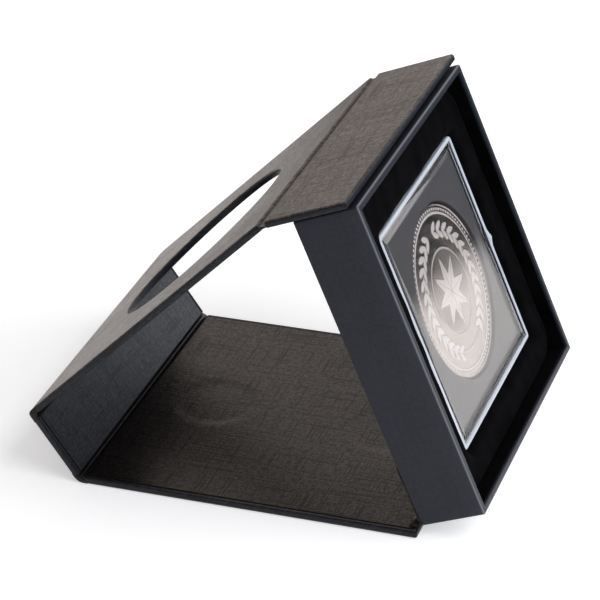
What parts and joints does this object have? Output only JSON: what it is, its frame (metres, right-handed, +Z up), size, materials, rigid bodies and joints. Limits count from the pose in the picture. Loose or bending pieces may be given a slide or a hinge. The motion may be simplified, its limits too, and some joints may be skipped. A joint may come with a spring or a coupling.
{
  "type": "coin presentation box",
  "caption": "Magnetic book-style coin box folded into a stand: round-windowed lid and flap lean over a raised velvet tray that shows a coin in a square clear capsule.",
  "frame": {"origin": "centre of the base panel's underside", "axes": "+X from the spine fold to the tray's hinge, +Y along the folds away from the viewer, +Z up"},
  "size_m": [0.0997, 0.0746, 0.075],
  "materials": {
    "greyboard": "raw grey board",
    "wrap_paper": "black linen-embossed paper",
    "liner_paper": "black linen-embossed liner",
    "tray_paper": "smooth charcoal paper",
    "velvet": "black velvet",
    "foam": "black foam",
    "magnet_steel": "plated disc",
    "clear_plastic": "clear, glossy",
    "inlay": "black foam sheet",
    "silver": "mirror field with frosted relief"
  },
  "bodies": {
    "base": {"base_board": "greyboard", "base_wrap": "wrap_paper", "base_liner": "liner_paper", "base_magnets": "magnet_steel", "spine_fold_strip": "wrap_paper"},
    "spine": {"spine_board": "greyboard", "spine_wrap": "wrap_paper", "spine_liner": "liner_paper", "lid_fold_strip": "wrap_paper"},
    "lid": {"lid_board": "greyboard", "lid_wrap": "wrap_paper", "lid_liner": "liner_paper", "flap_fold_strip": "wrap_paper"},
    "flap": {"flap_board": "greyboard", "flap_wrap": "wrap_paper", "flap_liner": "liner_paper", "flap_magnets": "magnet_steel"},
    "tray": {"tray_floor": "greyboard", "tray_front_wall": "greyboard", "tray_rear_wall": "greyboard", "tray_near_wall": "greyboard", "tray_far_wall": "greyboard", "tray_wrap": "tray_paper", "tray_hinge_leaf": "wrap_paper", "tray_lining": "velvet", "tray_front_magnets": "magnet_steel", "tray_rear_magnets": "magnet_steel", "tray_floor_discs": "magnet_steel", "insert_foam": "foam", "insert_velvet": "velvet"},
    "capsule": {"capsule_back": "clear_plastic", "capsule_inlay": "inlay"},
    "capsule_cover": {"capsule_front": "clear_plastic"},
    "coin": {"coin": "silver"}
  },
  "joints": [
    {"name": "tray_hinge", "type": "hinge", "parent": "base", "child": "tray", "pos_m": [0.03762, 0, 0.0019], "axis": [0, -1, 0], "range_deg": [0, 68]},
    {"name": "spine_hinge", "type": "hinge", "parent": "base", "child": "spine", "pos_m": [-0.03762, 0, 0], "axis": [0, -1, 0], "range_deg": [0, 56]},
    {"name": "lid_hinge", "type": "hinge", "parent": "spine", "child": "lid", "pos_m": [-0.04807, 0, 0.01551], "axis": [0, -1, 0], "range_deg": [0, 75]},
    {"name": "flap_hinge", "type": "hinge", "parent": "lid", "child": "flap", "pos_m": [0.00583, 0, 0.06795], "axis": [0, -1, 0], "range_deg": [0, 115]},
    {"name": "capsule_lift", "type": "slide", "parent": "tray", "child": "capsule", "axis": [0.9311, 0, 0.3649], "range_m": [0, 0.02]},
    {"name": "capsule_cover_lift", "type": "slide", "parent": "capsule", "child": "capsule_cover", "axis": [0.9311, 0, 0.3649], "range_m": [0, 0.012]},
    {"name": "coin_lift", "type": "slide", "parent": "capsule", "child": "coin", "axis": [0.9311, 0, 0.3649], "range_m": [0, 0.006]}
  ],
  "couplings": [
    {"joint": "spine_hinge", "follows": "tray_hinge", "ratio": 0.8},
    {"joint": "coin_lift", "follows": "capsule_cover_lift", "ratio": 0.5}
  ]
}
